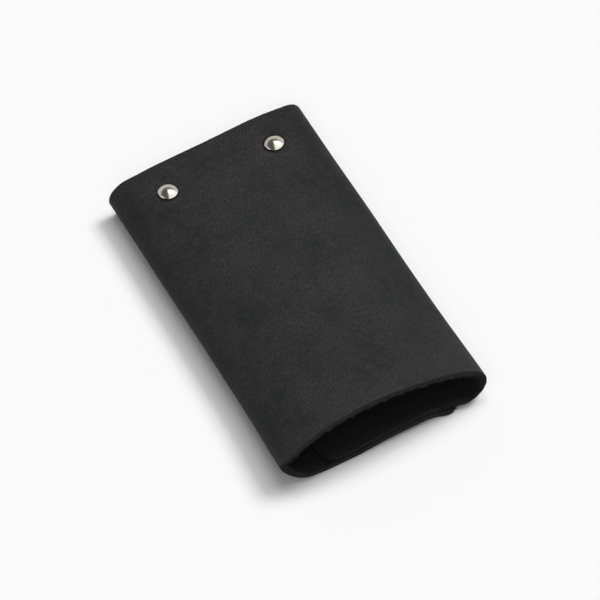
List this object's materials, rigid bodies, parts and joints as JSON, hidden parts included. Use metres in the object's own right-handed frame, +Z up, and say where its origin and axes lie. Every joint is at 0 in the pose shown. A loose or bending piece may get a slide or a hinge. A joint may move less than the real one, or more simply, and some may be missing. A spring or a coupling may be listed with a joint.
{
  "type": "key case",
  "caption": "Tri-fold leather key case lying closed on its flaps, riveted rail inside with swinging spring-gate key hooks, flaps held by press studs.",
  "frame": {"origin": "on the surface the case lies on, under the middle of its box", "axes": "+X across the case to the right seen from the mouth, +Y along the case from the open mouth to the riveted back end, +Z up through the middle panel"},
  "size_m": [0.066, 0.11, 0.0267],
  "materials": {
    "leather": "matte waxed nubuck, charcoal black, raw cut edges",
    "rivet_nickel": "bright nickel plate, domed",
    "rail_nickel": "nickel-plated stamped steel",
    "hook_nickel": "bright nickel-plated wire",
    "gate_spring_steel": "nickel-plated spring leaf",
    "snap_nickel": "bright nickel plate"
  },
  "bodies": {
    "centre": {"centre_panel": "leather", "rivet_cap_left": "rivet_nickel", "rivet_cap_right": "rivet_nickel", "rivet_post_left": "rivet_nickel", "rivet_post_right": "rivet_nickel", "rail_plate": "rail_nickel", "rail_rod": "rail_nickel"},
    "outer_fold_upper": {"outer_fold_upper": "leather"},
    "outer_fold_lower": {"outer_fold_lower": "leather"},
    "outer_flap": {"outer_flap": "leather", "snap_cap_mouth": "snap_nickel", "snap_socket_mouth": "snap_nickel", "snap_cap_back": "snap_nickel", "snap_socket_back": "snap_nickel"},
    "inner_fold_upper": {"inner_fold_upper": "leather"},
    "inner_fold_lower": {"inner_fold_lower": "leather"},
    "inner_flap": {"inner_flap": "leather", "snap_stud_mouth": "snap_nickel", "snap_post_mouth": "snap_nickel", "snap_stud_back": "snap_nickel", "snap_post_back": "snap_nickel"},
    "hook_1": {"hook_1": "hook_nickel", "hook_sleeve_1": "rail_nickel"},
    "hook_gate_1": {"hook_gate_1": "gate_spring_steel"},
    "hook_2": {"hook_2": "hook_nickel", "hook_sleeve_2": "rail_nickel"},
    "hook_gate_2": {"hook_gate_2": "gate_spring_steel"},
    "hook_3": {"hook_3": "hook_nickel", "hook_sleeve_3": "rail_nickel"},
    "hook_gate_3": {"hook_gate_3": "gate_spring_steel"},
    "hook_4": {"hook_4": "hook_nickel", "hook_sleeve_4": "rail_nickel"},
    "hook_gate_4": {"hook_gate_4": "gate_spring_steel"},
    "hook_5": {"hook_5": "hook_nickel", "hook_sleeve_5": "rail_nickel"},
    "hook_gate_5": {"hook_gate_5": "gate_spring_steel"},
    "hook_6": {"hook_6": "hook_nickel", "hook_sleeve_6": "rail_nickel"},
    "hook_gate_6": {"hook_gate_6": "gate_spring_steel"}
  },
  "joints": [
    {"name": "outer_fold_hinge", "type": "hinge", "parent": "centre", "child": "outer_fold_upper", "pos_m": [-0.02819, 0, 0.01532], "axis": [0.0307, 0.9995, -0.0119], "range_deg": [0, 45]},
    {"name": "outer_side_hinge", "type": "hinge", "parent": "outer_fold_upper", "child": "outer_fold_lower", "pos_m": [-0.033, 0, 0.00855], "axis": [0, 0.9999, -0.0148], "range_deg": [0, 90]},
    {"name": "outer_flap_hinge", "type": "hinge", "parent": "outer_fold_lower", "child": "outer_flap", "pos_m": [-0.02525, 0, 0.0008], "axis": [-0.0148, 0.9999, 0], "range_deg": [0, 45]},
    {"name": "inner_fold_hinge", "type": "hinge", "parent": "centre", "child": "inner_fold_upper", "pos_m": [0.02928, 0, 0.01493], "axis": [0.0256, -0.9997, 0.0065], "range_deg": [0, 6.75]},
    {"name": "inner_side_hinge", "type": "hinge", "parent": "inner_fold_upper", "child": "inner_fold_lower", "pos_m": [0.033, 0, 0.00967], "axis": [0, -0.9999, 0.0106], "range_deg": [0, 13.5]},
    {"name": "inner_flap_hinge", "type": "hinge", "parent": "inner_fold_lower", "child": "inner_flap", "pos_m": [0.02693, 0, 0.0036], "axis": [-0.0106, -0.9999, 0], "range_deg": [0, 6.75]},
    {"name": "hook_1_swing", "type": "hinge", "parent": "centre", "child": "hook_1", "pos_m": [-0.01751, 0.03834, 0.01224], "axis": [-1, 0, 0], "range_deg": [0, 16]},
    {"name": "hook_gate_1_press", "type": "hinge", "parent": "hook_1", "child": "hook_gate_1", "pos_m": [-0.01591, 0.03345, 0.01119], "axis": [0, 0.2091, -0.9779], "range_deg": [0, 7.5], "stiffness_Nm_per_rad": 0.02, "springref_deg": -5.73},
    {"name": "hook_2_swing", "type": "hinge", "parent": "centre", "child": "hook_2", "pos_m": [-0.0105, 0.03834, 0.01224], "axis": [-1, 0, 0], "range_deg": [0, 16]},
    {"name": "hook_gate_2_press", "type": "hinge", "parent": "hook_2", "child": "hook_gate_2", "pos_m": [-0.0089, 0.03345, 0.01119], "axis": [0, 0.2091, -0.9779], "range_deg": [0, 7.5], "stiffness_Nm_per_rad": 0.02, "springref_deg": -5.73},
    {"name": "hook_3_swing", "type": "hinge", "parent": "centre", "child": "hook_3", "pos_m": [-0.0035, 0.03834, 0.01224], "axis": [-1, 0, 0], "range_deg": [0, 16]},
    {"name": "hook_gate_3_press", "type": "hinge", "parent": "hook_3", "child": "hook_gate_3", "pos_m": [-0.0019, 0.03345, 0.01119], "axis": [0, 0.2091, -0.9779], "range_deg": [0, 7.5], "stiffness_Nm_per_rad": 0.02, "springref_deg": -5.73},
    {"name": "hook_4_swing", "type": "hinge", "parent": "centre", "child": "hook_4", "pos_m": [0.0035, 0.03834, 0.01224], "axis": [-1, 0, 0], "range_deg": [0, 16]},
    {"name": "hook_gate_4_press", "type": "hinge", "parent": "hook_4", "child": "hook_gate_4", "pos_m": [0.0051, 0.03345, 0.01119], "axis": [0, 0.2091, -0.9779], "range_deg": [0, 7.5], "stiffness_Nm_per_rad": 0.02, "springref_deg": -5.73},
    {"name": "hook_5_swing", "type": "hinge", "parent": "centre", "child": "hook_5", "pos_m": [0.0105, 0.03834, 0.01224], "axis": [-1, 0, 0], "range_deg": [0, 16]},
    {"name": "hook_gate_5_press", "type": "hinge", "parent": "hook_5", "child": "hook_gate_5", "pos_m": [0.0121, 0.03345, 0.01119], "axis": [0, 0.2091, -0.9779], "range_deg": [0, 7.5], "stiffness_Nm_per_rad": 0.02, "springref_deg": -5.73},
    {"name": "hook_6_swing", "type": "hinge", "parent": "centre", "child": "hook_6", "pos_m": [0.01751, 0.03834, 0.01224], "axis": [-1, 0, 0], "range_deg": [0, 16]},
    {"name": "hook_gate_6_press", "type": "hinge", "parent": "hook_6", "child": "hook_gate_6", "pos_m": [0.01911, 0.03345, 0.01119], "axis": [0, 0.2091, -0.9779], "range_deg": [0, 7.5], "stiffness_Nm_per_rad": 0.02, "springref_deg": -5.73}
  ],
  "couplings": [
    {"joint": "outer_side_hinge", "follows": "outer_fold_hinge", "ratio": 2},
    {"joint": "outer_flap_hinge", "follows": "outer_fold_hinge", "ratio": 1},
    {"joint": "inner_fold_hinge", "follows": "outer_fold_hinge", "ratio": 0.15},
    {"joint": "inner_side_hinge", "follows": "outer_fold_hinge", "ratio": 0.3},
    {"joint": "inner_flap_hinge", "follows": "outer_fold_hinge", "ratio": 0.15}
  ]
}
